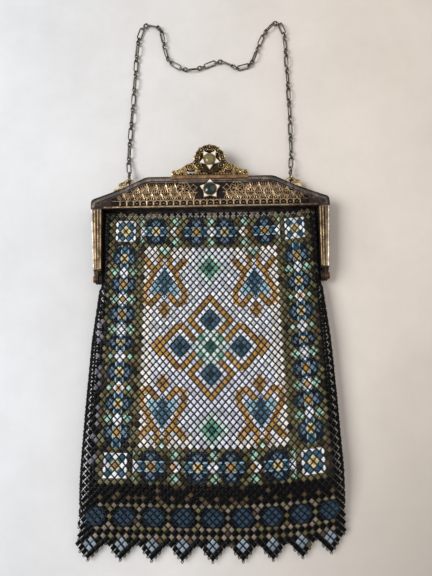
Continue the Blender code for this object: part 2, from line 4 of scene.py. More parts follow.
import bpy
import numpy as np
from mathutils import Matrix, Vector


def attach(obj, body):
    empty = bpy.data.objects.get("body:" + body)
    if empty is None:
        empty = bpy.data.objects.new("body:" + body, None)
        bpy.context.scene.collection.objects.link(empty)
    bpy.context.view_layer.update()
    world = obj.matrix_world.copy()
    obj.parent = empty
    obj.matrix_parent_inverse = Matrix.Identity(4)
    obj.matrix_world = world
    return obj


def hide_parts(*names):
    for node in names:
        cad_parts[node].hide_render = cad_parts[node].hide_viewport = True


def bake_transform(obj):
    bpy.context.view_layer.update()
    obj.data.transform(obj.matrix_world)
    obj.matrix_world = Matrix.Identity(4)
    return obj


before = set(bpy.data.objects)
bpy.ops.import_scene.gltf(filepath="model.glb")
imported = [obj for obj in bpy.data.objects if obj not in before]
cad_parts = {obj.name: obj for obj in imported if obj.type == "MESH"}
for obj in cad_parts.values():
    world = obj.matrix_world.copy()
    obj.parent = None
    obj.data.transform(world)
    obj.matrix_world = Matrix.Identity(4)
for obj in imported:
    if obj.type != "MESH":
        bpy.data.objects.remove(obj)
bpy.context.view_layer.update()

MM = 0.001
scene = bpy.context.scene
chance = random.Random(7)


# Camera

eye = bpy.data.objects.new("camera", bpy.data.cameras.new("camera"))
scene.collection.objects.link(eye)
scene.camera = eye
eye.data.sensor_width = 36
eye.data.lens = 27.06
eye.data.clip_start = 0.01
eye.location = (0.0016, -0.0088, 0.230)
eye.rotation_euler = (math.radians(9), 0, math.radians(-1))
scene.view_settings.view_transform = "Standard"


# Shapes


class Shape:
    """Collects closed bodies for one piece, each face with the number of its material slot."""

    def __init__(self):
        self.points, self.faces, self.slots, self.total = [], [], [], 0

    def add(self, body, slot=0):
        points, faces = body
        self.points.append(np.asarray(points, float))
        self.faces += [tuple(i + self.total for i in face) for face in faces]
        self.slots += [slot] * len(faces)
        self.total += len(points)

    def piece(self, name, finishes, smooth=35.0, flip=False):
        points = np.concatenate(self.points)
        faces = self.faces
        if flip:  # the same on the back, beyond the plane where the frame's halves meet
            points = points * (1, 1, -1) + (0, 0, 9.7)
            points[:, 2] = np.maximum(points[:, 2], -0.1)
            faces = [face[::-1] for face in faces]
        mesh = bpy.data.meshes.new(name)
        mesh.from_pydata((points * MM).tolist(), [], faces)
        mesh.polygons.foreach_set("material_index", self.slots)
        for finish in finishes:
            mesh.materials.append(finish)
        if smooth:
            mesh.shade_smooth()
            mesh.set_sharp_from_angle(angle=math.radians(smooth))
        made = bpy.data.objects.new(name, mesh)
        scene.collection.objects.link(made)
        return made


def unit(vectors):
    return vectors / np.linalg.norm(vectors, axis=-1, keepdims=True)


def tube(path, radius, sides=8, closed=False, normal=(0, 0, 1), flat=1.0):
    """A round wire along a path, with its section flattened along normal by flat."""
    path = np.asarray(path, float)
    count = len(path)
    ahead, behind = np.roll(path, -1, 0), np.roll(path, 1, 0)
    if not closed:
        ahead[-1], behind[0] = path[-1], path[0]
    along = unit(ahead - behind)
    side = unit(np.cross(np.asarray(normal, float), along))
    up = np.cross(along, side)
    turn = np.arange(sides) * 2 * math.pi / sides
    radius = np.broadcast_to(np.asarray(radius, float), (count,))[:, None, None]
    wall = np.cos(turn)[None, :, None] * side[:, None] + flat * np.sin(turn)[None, :, None] * up[:, None]
    points = (path[:, None] + radius * wall).reshape(-1, 3)
    faces = []
    for i in range(count if closed else count - 1):
        a, b = i * sides, (i + 1) % count * sides
        faces += [(a + j, a + (j + 1) % sides, b + (j + 1) % sides, b + j) for j in range(sides)]
    if not closed:
        faces.append(tuple(range(sides - 1, -1, -1)))
        faces.append(tuple(range((count - 1) * sides, count * sides)))
    return points, faces


def circle(centre, radius, count=16, start=0.0, end=360.0, plane="XY"):
    """Points round a circle; a full circle doesn't repeat its first point."""
    full = abs(end - start) >= 360
    angles = np.radians(start + (end - start) * np.arange(count) / (count if full else count - 1))
    flat = {"XY": (0, 1), "YZ": (1, 2), "XZ": (0, 2)}[plane]
    points = np.tile(np.asarray(centre, float), (count, 1))
    points[:, flat[0]] += radius * np.cos(angles)
    points[:, flat[1]] += radius * np.sin(angles)
    return points


AXES = {"XY": (0, 0, 1), "YZ": (1, 0, 0), "XZ": (0, -1, 0)}


def ring(centre, radius, wire, plane="XY", count=16, sides=6):
    return tube(circle(centre, radius, count, plane=plane), wire, sides, True, AXES[plane])


def ball(centre, radius, squash=1.0, sides=8, rings=5):
    """A bead, flattened along Z by squash."""
    points = [(0, 0, 1)]
    for i in range(1, rings):
        tilt = math.pi * i / rings
        for j in range(sides):
            turn = 2 * math.pi * j / sides
            flat = math.sin(tilt)
            points.append((flat * math.cos(turn), flat * math.sin(turn), math.cos(tilt)))
    points.append((0, 0, -1))
    last = len(points) - 1
    faces = [(0, 1 + j, 1 + (j + 1) % sides) for j in range(sides)]
    for i in range(rings - 2):
        a, b = 1 + i * sides, 1 + (i + 1) * sides
        faces += [(a + j, b + j, b + (j + 1) % sides, a + (j + 1) % sides) for j in range(sides)]
    a = 1 + (rings - 2) * sides
    faces += [(last, a + (j + 1) % sides, a + j) for j in range(sides)]
    return np.array(points) * (radius, radius, radius * squash) + centre, faces


def slab(outline, low, high, bevel=0.0):
    """A flat-backed convex body over a counterclockwise outline, bevelled at the top."""
    outline = np.asarray(outline, float)
    middle = outline.mean(0)
    reach = np.linalg.norm(outline - middle, axis=1).mean()
    inner = middle + (outline - middle) * (1 - bevel * 1.4 / reach)
    n = len(outline)
    levels = [(outline, low), (outline, high - bevel), (inner, high)]
    points = np.concatenate([np.column_stack([plan, np.full(n, z)]) for plan, z in levels])
    faces = [tuple(range(n - 1, -1, -1)), tuple(range(2 * n, 3 * n))]
    for k in (0, n):
        faces += [(k + j, k + (j + 1) % n, k + n + (j + 1) % n, k + n + j) for j in range(n)]
    return points, faces


def line(start, end, count=2):
    return np.linspace(start, end, count)


def through(points, steps=6):
    """Points along a smooth curve through the given points."""
    points = [np.asarray(p, float) for p in points]
    ends = [points[0], *points, points[-1]]
    fine = []
    for b, a, d, e in zip(ends, ends[1:], ends[2:], ends[3:]):
        for step in range(steps):
            t = step / steps
            fine.append(0.5 * (2 * a + (d - b) * t + (2 * b - 5 * a + 4 * d - e) * t * t
                               + (3 * a - b - 3 * d + e) * t ** 3))
    return np.array(fine + [points[-1]])


def evenly(points, step):
    """The same curve with its points a given length apart, and its length."""
    lengths = np.concatenate([[0], np.cumsum(np.linalg.norm(np.diff(points, axis=0), axis=1))])
    count = max(2, int(round(lengths[-1] / step)) + 1)
    at = np.linspace(0, lengths[-1], count)
    return np.column_stack([np.interp(at, lengths, points[:, k]) for k in range(3)]), lengths[-1]


# Materials


def linear(colour):
    return tuple(
        v / 12.92 if v <= 0.04045 else ((v + 0.055) / 1.055) ** 2.4 for v in (c / 255 for c in colour)
    )


class Nodes:
    """A short way to build one material's nodes."""

    def __init__(self, name):
        self.material = bpy.data.materials.new(name)
        self.material.use_nodes = True
        self.tree = self.material.node_tree
        self.shader = self.tree.nodes["Principled BSDF"]
        self.place = self.new("ShaderNodeTexCoord").outputs["Object"]

    def new(self, kind, **values):
        node = self.tree.nodes.new(kind)
        for key, value in values.items():
            setattr(node, key, value)
        return node

    def link(self, start, end):
        self.tree.links.new(start, end)

    def noise(self, scale, detail=3.0, rough=0.55):
        node = self.new("ShaderNodeTexNoise")
        node.inputs["Scale"].default_value = scale
        node.inputs["Detail"].default_value = detail
        node.inputs["Roughness"].default_value = rough
        self.link(self.place, node.inputs["Vector"])
        return node.outputs["Fac"]

    def spread(self, value, low, high, start, end):
        node = self.new("ShaderNodeMapRange")
        for name, number in (("From Min", low), ("From Max", high), ("To Min", start), ("To Max", end)):
            node.inputs[name].default_value = number
        self.link(value, node.inputs["Value"])
        return node.outputs["Result"]

    def maths(self, kind, a, b=0.0):
        node = self.new("ShaderNodeMath", operation=kind)
        for socket, value in zip(node.inputs, (a, b)):
            if isinstance(value, (int, float)):
                socket.default_value = value
            else:
                self.link(value, socket)
        return node.outputs["Value"]

    def mix(self, share, a, b):
        node = self.new("ShaderNodeMix", data_type="RGBA")
        self.link(share, node.inputs["Factor"])
        for socket, value in ((node.inputs[6], a), (node.inputs[7], b)):
            if isinstance(value, tuple):
                socket.default_value = (*value, 1)
            else:
                self.link(value, socket)
        return node.outputs[2]

    def axis(self, name):
        node = self.new("ShaderNodeSeparateXYZ")
        self.link(self.place, node.inputs[0])
        return node.outputs[name]

    def bump(self, height, strength, distance=0.0002):
        node = self.new("ShaderNodeBump")
        node.inputs["Strength"].default_value = strength
        node.inputs["Distance"].default_value = distance
        self.link(height, node.inputs["Height"])
        self.link(node.outputs["Normal"], self.shader.inputs["Normal"])


def enamel(name, colour, roughness=0.36):
    """Plain enamel: its own even colour, with a slightly uneven, worn gloss."""
    n = Nodes(name)
    n.shader.inputs["Base Color"].default_value = (*linear(colour), 1)
    n.shader.inputs["Specular IOR Level"].default_value = 0.08 if sum(colour) < 240 else 0.35
    grain = n.noise(900, 4)
    n.link(n.spread(grain, 0.3, 0.7, roughness - 0.1, roughness + 0.14), n.shader.inputs["Roughness"])
    n.bump(grain, 0.25)
    return n.material


def metal(name, bright, dark, roughness=0.42, wear=0.5, scale=260, metallic=1.0, centre=None):
    """Aged metal: patina and worn metal mixed by noise, and darker away from the middle if asked."""
    n = Nodes(name)
    broad, fine = n.noise(scale, 4), n.noise(scale * 5, 3)
    share = n.maths("ADD", n.maths("MULTIPLY", broad, 0.65), n.maths("MULTIPLY", fine, 0.35))
    share = n.spread(share, 0.36, 0.62, wear - 0.5, wear + 0.5)
    if centre:
        away = n.maths("ABSOLUTE", n.maths("ADD", n.axis("X"), 0.001))
        share = n.maths("ADD", share, n.spread(away, centre[0] * MM, centre[1] * MM, 0.0, centre[2]))
    clamp = n.new("ShaderNodeClamp")
    n.link(share, clamp.inputs["Value"])
    share = clamp.outputs["Result"]
    n.link(n.mix(share, linear(bright), linear(dark)), n.shader.inputs["Base Color"])
    n.shader.inputs["Metallic"].default_value = metallic
    n.link(n.spread(share, 0, 1, roughness - 0.06, roughness + 0.2), n.shader.inputs["Roughness"])
    n.bump(fine, 0.35)
    return n.material


def glass(name, colour, roughness=0.06):
    n = Nodes(name)
    n.shader.inputs["Base Color"].default_value = (*linear(colour), 1)
    n.shader.inputs["Coat Weight"].default_value = 0.6
    n.shader.inputs["Coat Roughness"].default_value = 0.04
    haze = n.noise(500, 3)
    n.link(n.spread(haze, 0.3, 0.7, roughness, roughness + 0.12), n.shader.inputs["Roughness"])
    n.bump(haze, 0.06)
    return n.material


rail_metal = metal("rail_metal", (178, 162, 144), (92, 84, 80), 0.42, 0.55, 220, 0.85, (20, 52, 0.45))
bar_metal = metal("bar_metal", (120, 102, 84), (52, 45, 43), 0.5, 0.65, 220, 0.8, (20, 52, 0.3))
gilt = metal("gilt", (238, 208, 166), (112, 86, 60), 0.36, 0.36, 420, 0.95, (34, 60, 0.6))
# Nearly black: on the pierced plates behind the relief it is painted shade for the band's openings; on the
# crest's pin and spring it is dark gilt.
gilt_dark_opening_shade = metal("gilt_dark_opening_shade", (54, 42, 35), (16, 14, 14), 0.5, 0.6, 420, 0.7, (30, 56, 0.4))
arm_gilt = metal("arm_gilt", (182, 156, 120), (108, 88, 66), 0.42, 0.45, 300, 0.9)
arm_dark = metal("arm_dark", (96, 76, 56), (42, 35, 30), 0.5, 0.55, 300, 0.7)
# Light grey: a painted highlight along each arm's outermost rib.
arm_grey_highlight = metal("arm_grey_highlight", (212, 202, 186), (134, 122, 108), 0.38, 0.4, 300, 0.9)
copper = metal("copper", (178, 100, 64), (92, 54, 40), 0.38, 0.45, 300)
nickel = metal("nickel", (156, 148, 132), (58, 52, 46), 0.32, 0.5, 300)
crest_gilt = metal("crest_gilt", (226, 196, 138), (104, 82, 52), 0.34, 0.36, 420, 0.95)
crest_dark = metal("crest_dark", (84, 66, 42), (28, 23, 18), 0.5, 0.55, 420, 0.8)
tan = metal("tan_brass", (184, 148, 110), (108, 84, 62), 0.4, 0.4, 300, 0.9)
lug_gilt = metal("lug_gilt", (230, 210, 170), (122, 104, 78), 0.36, 0.34, 380)
# The rings are dark metal, darkened further to nearly black as painted shade in the gaps between the plates.
linkwork_and_gap_shade = metal("linkwork_and_gap_shade", (38, 34, 29), (13, 12, 11), 0.55, 0.65, 500, 0.4)
# Nearly black sides and undersides of the plates: painted shade for the gaps between the plates and for the
# inside of the pouch.
plate_side_gap_shade = metal("plate_side_gap_shade", (30, 27, 24), (11, 10, 9), 0.55, 0.6, 500, 0.5)
ivory = enamel("ivory", (240, 232, 222), 0.28)
green_glass = glass("green_glass", (7, 30, 29))
yellow_glass = glass("yellow_glass", (118, 106, 58), 0.16)


# Chain

CHAIN_ROUTE = (
    (-44.5, 91.5, 3.8), (-45.0, 95.8, 3.0), (-45.3, 100.9, 1.6), (-45.2, 107.6, 1.6),
    (-44.2, 122.5, 1.6), (-43.0, 140.5, 1.6), (-42.0, 158.2, 1.6), (-41.1, 171.8, 1.6),
    (-39.5, 181.0, 1.6), (-35.1, 185.9, 1.6), (-29.6, 184.2, 1.6), (-26.5, 178.5, 1.6),
    (-25.6, 170.5, 1.6), (-23.3, 162.8, 1.6), (-18.1, 158.0, 1.6), (-10.6, 155.8, 1.6),
    (-2.6, 157.7, 1.6), (5.0, 160.6, 1.6), (11.3, 160.3, 1.6), (16.0, 156.8, 1.6),
    (21.4, 156.7, 1.6), (26.3, 161.6, 1.6), (29.6, 170.5, 1.6), (34.2, 180.1, 1.6),
    (39.1, 185.4, 1.6), (43.8, 183.7, 1.6), (45.1, 176.3, 1.6), (45.5, 160.5, 1.6),
    (45.8, 144.6, 1.6), (46.0, 124.6, 1.6), (45.8, 107.2, 1.6), (45.6, 100.4, 1.6),
    (45.1, 95.6, 3.0), (44.5, 91.5, 3.8),
)
LINK_WIRE = 0.36
LONG, SHORT = (8.1, 3.0), (3.5, 2.5)


def link(size, centre, along, roll):
    """One oval link, lying along a direction and rolled about it."""
    straight, half = (size[0] - size[1]) / 2, size[1] / 2 - LINK_WIRE
    loop = [(straight + half * math.cos(a), half * math.sin(a)) for a in np.radians(range(-90, 91, 36))]
    loop += [(-x, -y) for x, y in loop]
    along = unit(along)
    flat = unit(np.cross((0, 0, 1), along))
    up = np.cross(along, flat)
    across = flat * math.cos(roll) + up * math.sin(roll)
    path = [centre + along * x + across * y for x, y in loop]
    return tube(path, LINK_WIRE, 8, True, np.cross(along, across))


def chain():
    route, length = evenly(through(CHAIN_ROUTE, 16), 1.0)
    lead = 1.4  # the first and last links reach back through the end rings
    ends = [[route[k] + (shift, -lead, 0.2)] for k, shift in ((0, 0.2), (-1, -0.2))]
    route = np.concatenate([ends[0], route, ends[1]])
    lengths = np.concatenate([[0], np.cumsum(np.linalg.norm(np.diff(route, axis=0), axis=1))])
    unit_length = sum(size[0] - 4 * LINK_WIRE for size in (LONG, SHORT, SHORT))
    units = round(lengths[-1] / unit_length)
    stretch = (lengths[-1] - (SHORT[0] - 4 * LINK_WIRE)) / (units * unit_length)
    shape, at, number = Shape(), 0.0, 0
    for size in [SHORT, LONG, SHORT] * units + [SHORT]:
        pitch = (size[0] - 4 * LINK_WIRE) * (stretch if number < units * 3 else 1)
        ends = [np.array([np.interp(s, lengths, route[:, k]) for k in range(3)]) for s in (at, at + pitch)]
        roll = math.radians((40 if number % 2 else -45) + chance.uniform(-8, 8))
        centre = (ends[0] + ends[1]) / 2
        centre[2] -= 0.25 if centre[2] < 2 else 0
        shape.add(link(size, centre, ends[1] - ends[0], roll))
        at, number = at + pitch, number + 1
    made = shape.piece("chain_links", [nickel])
    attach(made, "chain")
    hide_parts("chain")


chain()


# Enamel pattern, printed over the whole mesh. A plate stands in half column c and half row r wherever
# c + r is odd, counted from the middle motif, and takes its colours in small cells, so that the print's
# edges cross it.

COLOURS = {
    "white": (224, 227, 232), "lavender": (210, 212, 224), "ivory": (226, 221, 214),
    "amber": (172, 130, 62), "amber_dark": (138, 102, 48), "tan": (190, 148, 100),
    "pale_yellow": (204, 196, 148), "mint": (150, 194, 176), "pale_mint": (196, 216, 208),
    "green": (98, 152, 130), "emerald": (44, 92, 82),
    "teal": (52, 88, 108), "teal_light": (140, 178, 192), "teal_dark": (38, 58, 68),
    "pale_blue": (170, 192, 204), "steel": (92, 116, 136), "navy": (22, 32, 46),
    "black": (9, 8, 8), "olive": (104, 98, 62), "olive_dark": (40, 38, 28),
    "olive_brown": (84, 68, 50), "worn": (132, 116, 100), "cream": (122, 111, 94),
    "medallion": (47, 67, 84), "medallion_dark": (28, 41, 53), "point_blue": (132, 147, 158),
    "smoke": (104, 102, 114),
}
NAMES = list(COLOURS)
SHADES = (0.88, 1.0, 1.07)
LINE_WIDTH = 1.75
FIELD = (21.3, 25.6)  # the pale field's half columns and half rows from its middle
TOP_ROW, HEM_ROW, LAST_FULL_ROW = 36, -34, -50  # half rows from the middle motif


class Print:
    """Enamel colours of many spots, each the colour of the last shape painted over it."""

    def __init__(self, c, r, ground):
        self.c, self.r, self.colour = c, r, ground

    def paint(self, covered, name):
        self.colour = np.where(covered, NAMES.index(name), self.colour)


def block(u, v, wide, tall):
    return (np.abs(u) <= wide) & (np.abs(v) <= tall)


def diamond(u, v, wide, tall):
    return np.abs(u) / wide + np.abs(v) / tall <= 1


def disc(u, v, wide, tall):
    return (u / wide) ** 2 + (v / tall) ** 2 <= 1


def stroke(u, v, path, width):
    """Spots on a line of a given width through the points of a path."""
    near = np.full(u.shape, 99.0)
    for (u0, v0), (u1, v1) in zip(path, path[1:]):
        du, dv = u1 - u0, v1 - v0
        share = np.clip(((u - u0) * du + (v - v0) * dv) / (du * du + dv * dv), 0, 1)
        near = np.minimum(near, np.hypot(u - u0 - share * du, v - v0 - share * dv))
    return near <= width / 2


def print_strip(art, inside, along, across, rosettes, pale, warm):
    """A border strip: navy rosettes with a banded middle, and white or salmon crosses between them."""
    v = np.abs(across)
    for middle in rosettes:
        u = along - middle
        near = inside & (np.abs(u) <= 4.2)
        art.paint(near & disc(u, v, 3.8, 4.1), "navy")
        art.paint(near & disc(u, v - 2.4, 1.2, 1.0), "steel")
        art.paint(near & disc(u, v - 3.5, 1.6, 0.6), "teal_dark")
        art.paint(near & block(u, v, 3.8, 1.25), "teal_light")
        art.paint(near & block(np.abs(u) - 2.5, v, 1.3, 1.05), "teal")
        art.paint(near & block(u, v, 1.2, 1.1), "pale_yellow")
        art.paint(near & block(u, v, 1.2, 1.1) & (np.abs(np.abs(u) - v) < 0.5), "amber")
    for middle in (*pale, *warm):
        u = along - middle
        art.paint(inside & stroke(np.abs(u), v, [(0.6, 1.0), (2.0, 4.0)], 0.8), "olive")
        art.paint(inside & diamond(u, v - 2.9, 1.2, 1.4), "mint")
        art.paint(inside & diamond(u, v, 2.0, 1.7), "white")
        if middle in warm:
            art.paint(inside & diamond(u, v, 1.2, 1.2), "tan")
            art.paint(inside & diamond(u, v, 0.6, 0.6), "amber")


def print_corner(art, a, b):
    """A corner square: white, with four teal blocks and a yellow middle."""
    art.paint(block(a, b, 3.4, 3.0), "white")
    art.paint(block(a - 1.6, b - 1.45, 1.1, 1.0), "teal")
    art.paint(diamond(a, b, 1.8, 1.7), "pale_yellow")
    art.paint(diamond(a, b, 0.9, 0.9), "amber")


def print_middle(art, inside, a, b):
    """The middle motif: a green diamond among four teal ones, in an amber outline."""
    art.paint(inside & stroke(a, b, [(0, 13.1), (6.2, 6.9), (3, 4)], LINE_WIDTH), "amber")
    art.paint(inside & stroke(a, b, [(15.4, 0), (10, 5.2), (8.3, 5.3), (5, 2)], LINE_WIDTH), "amber")
    art.paint(inside & stroke(a, b, [(17, 0), (15.2, 1.8)], LINE_WIDTH), "amber")
    art.paint(diamond(a, b, 5.6, 5.6), "pale_mint")
    art.paint(diamond(a - 2.9, b - 2.3, 1.5, 1.5), "green")
    art.paint(diamond(a, b, 1.7, 1.7), "emerald")
    art.paint(diamond(a - 5.7, b, 1.2, 1.2), "pale_blue")
    for u, v in ((a - 9, b), (a, b - 7)):
        art.paint(diamond(u, v, 3.5, 3.4), "teal")
        art.paint(diamond(u, v, 1.3, 1.3), "teal_dark")


def print_tulip(art, inside, d, t):
    """A tulip in a corner of the field, by half columns from its axis and rows from the middle."""
    hook = [(1.2, 24.2), (1.7, 21.5), (3.0, 19.8), (4.4, 17.4), (5.8, 15.0), (6.4, 13.4), (6.1, 11.9),
            (4.9, 11.2), (3.2, 11.3), (2.1, 12.8), (1.8, 13.8)]
    art.paint(inside & stroke(d, t, hook, LINE_WIDTH), "amber")
    art.paint(inside & stroke(d, t, [(3.0, 19.8), (4.9, 21.3), (6.2, 22.6)], LINE_WIDTH), "amber")
    art.paint(inside & stroke(d, t, [(0, 23.4), (2.5, 26)], 0.9), "olive")
    art.paint(inside & (t > 24.2) & (d <= (t - 24.2) * 0.9), "mint")
    art.paint(inside & diamond(d, t - 9.4, 2.1, 2.3), "amber")
    art.paint(inside & diamond(d, t - 9.6, 0.9, 1.0), "amber_dark")
    art.paint(inside & (t >= 14.4) & (d <= (21.4 - t) * 0.68), "pale_blue")
    art.paint(inside & (t >= 15) & (d <= (21.0 - t) * 0.62), "teal")
    art.paint(inside & disc(d - 2.3, t - 14.9, 1.9, 1.4), "teal_light")
    art.paint(inside & diamond(d, t - 14.9, 1.6, 2.4), "teal")


def print_hem(art, plate_row):
    """The dark medallions of the hem, and the pale diamonds on its points."""
    off = np.mod(art.c + 4, 8) - 4
    band = plate_row < -39
    art.paint(band & disc(off, art.r + 43, 3.0, 2.8), "medallion_dark")
    art.paint(band & disc(off, art.r + 43, 2.5, 2.3), "medallion")
    art.paint(band & diamond(off, art.r + 49.8, 2.1, 2.1), "point_blue")


def ground_colour(c, r):
    """The colour of a whole plate before the motifs are painted."""
    s, t = abs(c - 0.5), abs(r - 0.5)
    if s > 33:
        return "smoke" if c < 0 and -30 < r < 10 and s < 35 and chance.random() < 0.4 else "black"
    if r >= TOP_ROW:
        return "olive_brown" if chance.random() < 0.4 else "black"
    if r < HEM_ROW:
        dots = r in (-40, -46, -48) or r > -46 and r < -39 and (c + 4) % 8 == 0
        if dots:
            return chance.choice(("olive", "cream", "worn"))
        return "olive_brown" if r == -38 and c % 4 == 1 or chance.random() < 0.06 else "black"
    if s <= FIELD[0] and t <= FIELD[1]:
        if s >= 18 or t >= 23 and s >= 6:
            return "ivory"
        return "lavender" if r < -6 or chance.random() < 0.35 else "white"
    edge = s < 23.2 and t < 26.8
    shares = (0.7, 0.2, 0.1) if edge else (0.48, 0.22, 0.3)
    return chance.choices(("olive", "olive_brown", "olive_dark"), shares)[0]


def enamel_print(plates, spots):
    """Colour numbers of every plate's cells."""
    grounds = [NAMES.index(ground_colour(c, r)) for c, r in plates.tolist()]
    c, r = (plates[:, k, None] + spots[None, :, k] for k in (0, 1))
    art = Print(c, r, np.tile(np.array(grounds)[:, None], (1, len(spots))))
    a, b, s, t = np.abs(c), np.abs(r), np.abs(c - 0.5), np.abs(r - 0.5)
    inside = (s <= FIELD[0]) & (t <= FIELD[1])
    for size, name in ((4.6, "pale_mint"), (3.3, "green"), (1.5, "emerald")):
        art.paint(inside & diamond(a, b - 21, size, size), name)
    print_tulip(art, inside, np.abs(a - 14), b)
    print_middle(art, inside, a, b)
    print_strip(art, (s > 23.2) & (s < 31.8) & (t <= 26.6), t, s - 27.5, (-0.5, 7.5, 15.5, 22.5), (3.5, 19),
                (11.5,))
    print_strip(art, (t > 26.6) & (t < 34.4) & (s <= 22.4), s, t - 30.5, (4.5, 17.5), (0, 22.5), (11,))
    print_corner(art, np.abs(s - 27.5), np.abs(t - 30.5))
    print_hem(art, plates[:, 1, None])
    amber = NAMES.index("amber")
    worn = np.random.default_rng(5).choice([amber, NAMES.index("tan"), NAMES.index("amber_dark")],
                                           (len(plates), 1), p=(0.6, 0.2, 0.2))
    return np.where(art.colour == amber, worn, art.colour)


# Mesh pouch

PLATE_SHARE = 0.71  # of the way to the next plate
ROW_PITCH, HEM_PITCH = 1.943, 1.86  # of half rows
SIDE_INSET = 0.4  # of the front's rounded sides from the pouch's outline
SIDES = ((28.6, 58.4), (0.0, 61.6), (-30.0, 63.4), (-60.0, 64.8), (-88.0, 65.8), (-106.0, 67.0))


def half_width(y):
    """Half the pouch's width."""
    heights, widths = zip(*reversed(SIDES))
    between_arms = np.interp(y, (26.0, 31.0), (0.0, 1.0))
    return np.interp(y, heights, widths) * (1 - between_arms) + 57.2 * between_arms


def layout(c, r):
    """Where a plate or ring sits: its distance across along the mesh, and its place up the bag.

    The columns spread towards the bottom, the rows rise a little at the sides, and the points swing
    to the left.
    """
    c, r = np.asarray(c, float), np.asarray(r, float)
    level = -3.85 + ROW_PITCH * np.maximum(r, -33) + HEM_PITCH * np.minimum(r + 33, 0)
    rise = np.interp(r, (24, 36), (1.0, 0.35)) * (0.0026 * c ** 2 + 0.00005 * c ** 3 - 0.035 * c)
    swing = np.clip((-40 - r) / 12, 0, 1) * (0.6 + 0.00009 * np.maximum(-c, 0) ** 3)
    return -1.0 + c * pitch_at(r) - 0.00004 * c ** 3 - swing, level + rise


def side_layout(front, c, r):
    """The layout of one panel; the back one's plates lie behind the front one's."""
    if front:
        return layout(c, r)
    s, y = layout(-c, r)
    return -s, y


def pitch_at(r):
    """The pitch of half columns at a row."""
    return 1.722 - 0.0022 * np.asarray(r, float)


def lean(y):
    """How far the pouch's outline leans across at a height."""
    return np.interp(y, (-108.0, -86.0, 26.0, 31.0), (-3.4, -1.5, -0.3, 0.0))


def front_top(y):
    """The height of the front mesh at a place up the bag; it thins to its points."""
    share = np.clip((-62.0 - y) / 35.0, 0, 1)
    return 8.15 - (8.15 - 2.75) * share * share * (3 - 2 * share)


def side_turn(top):
    """The radius of the front's rounded sides."""
    return np.clip((top - 2.2) * 0.8, 0.25, 2.4)


def front_place(s, y):
    """A point of the front mesh, s across along its surface from the middle and y up."""
    top, width = front_top(y), half_width(y) - SIDE_INSET
    turn = side_turn(top)
    s = s - lean(y)
    beyond = np.maximum(np.abs(s) - (width - turn), 0)
    angle = np.minimum(beyond / turn, math.pi / 2)
    x = np.sign(s) * (np.minimum(np.abs(s), width - turn) + turn * np.sin(angle))
    z = top - turn * (1 - np.cos(angle)) - np.maximum(beyond - turn * math.pi / 2, 0)
    calm = np.interp(y, (55, 66), (1, 0.2)) * np.cos(angle) * np.interp(y, (-95, -80), (0.2, 1))
    wave = 0.22 * np.sin(s / 9.5 + 0.7) * np.sin(y / 13 + 1.2) + 0.12 * np.sin(s / 4.3 + y / 6.1)
    return np.stack([x + lean(y), y, z + wave * calm], -1)


def back_place(s, y):
    """The same for the flat back mesh, seen from behind."""
    return np.stack([-s, y, 1.05 + 0.08 * np.sin(s / 7) * np.sin(y / 11)], -1)


def settings(place, s, y):
    """Places on a mesh, each with its directions across, up the bag and out of the surface."""
    step = 0.3
    across = unit(place(s + step, y) - place(s - step, y))
    out = unit(np.cross(across, place(s, y + step) - place(s, y - step)))
    return place(s, y), across, np.cross(out, across), out


def plate_body():
    """A domed diamond with its edges turned down, of half diagonals 1, and its enamelled cells' places."""
    plan = np.array([(1, 0), (0.5, 0.5), (0, 1), (-0.5, 0.5), (-1, 0), (-0.5, -0.5), (0, -1), (0.5, -0.5)])
    n = len(plan)
    levels = [(1.0, -0.36), (1.0, 0.16), (0.62, 0.3)]
    points = [(x * size, y * size, z) for size, z in levels for x, y in plan] + [(0, 0, 0.36)]
    faces = [tuple(range(n - 1, -1, -1))]
    for k in (0, n):
        faces += [(k + j, k + (j + 1) % n, k + n + (j + 1) % n, k + n + j) for j in range(n)]
    faces += [(2 * n + j, 2 * n + (j + 1) % n, 3 * n) for j in range(n)]
    middles = (plan + np.roll(plan, -1, 0)) / 2
    return np.array(points), faces, np.concatenate([middles * 0.82, middles * 0.42])


def seats(front):
    """Half columns and half rows of the plates, then those of the rings between them."""
    plates, rings = [], []
    for r in range(LAST_FULL_ROW, TOP_ROW + 1):
        y = float(side_layout(front, 0, r)[1])
        leaning = float(lean(y)) * (1 if front else -1)
        if front:
            top, width = float(front_top(y)), float(half_width(y)) - SIDE_INSET
            turn = float(side_turn(top))
            low = 2.3 if y < 27 else 4.4
            reach = width - turn + turn * math.pi / 2 + max(top - turn - low, 0) - 0.8
        else:
            reach = float(half_width(y)) - 1.2
        for c in range(-44, 45):
            if abs(float(side_layout(front, c, r)[0]) - leaning) > reach:
                continue
            (plates if (c + r) % 2 else rings).append((c, r))
    for k in range(-4, 5):
        plates += [(8 * k + d, -51) for d in (-2, 0, 2)] + [(8 * k + d, -52) for d in (-1, 1)]
        plates.append((8 * k, -53))
        rings += [(8 * k + d, -51) for d in (-1, 1)] + [(8 * k, -52), (8 * k, -54)]
        rings += [(8 * k - 2, -52), (8 * k + 2, -52), (8 * k - 1, -53), (8 * k + 1, -53)]
    return np.array(plates), np.array(rings)


def tilted(across, up, out, amount, rng):
    """The same directions, each turned a little by chance."""
    slant = rng.normal(0, amount, (len(out), 2))
    out = unit(out + across * slant[:, :1] + up * slant[:, 1:])
    across = unit(np.cross(up, out))
    return across, np.cross(out, across), out


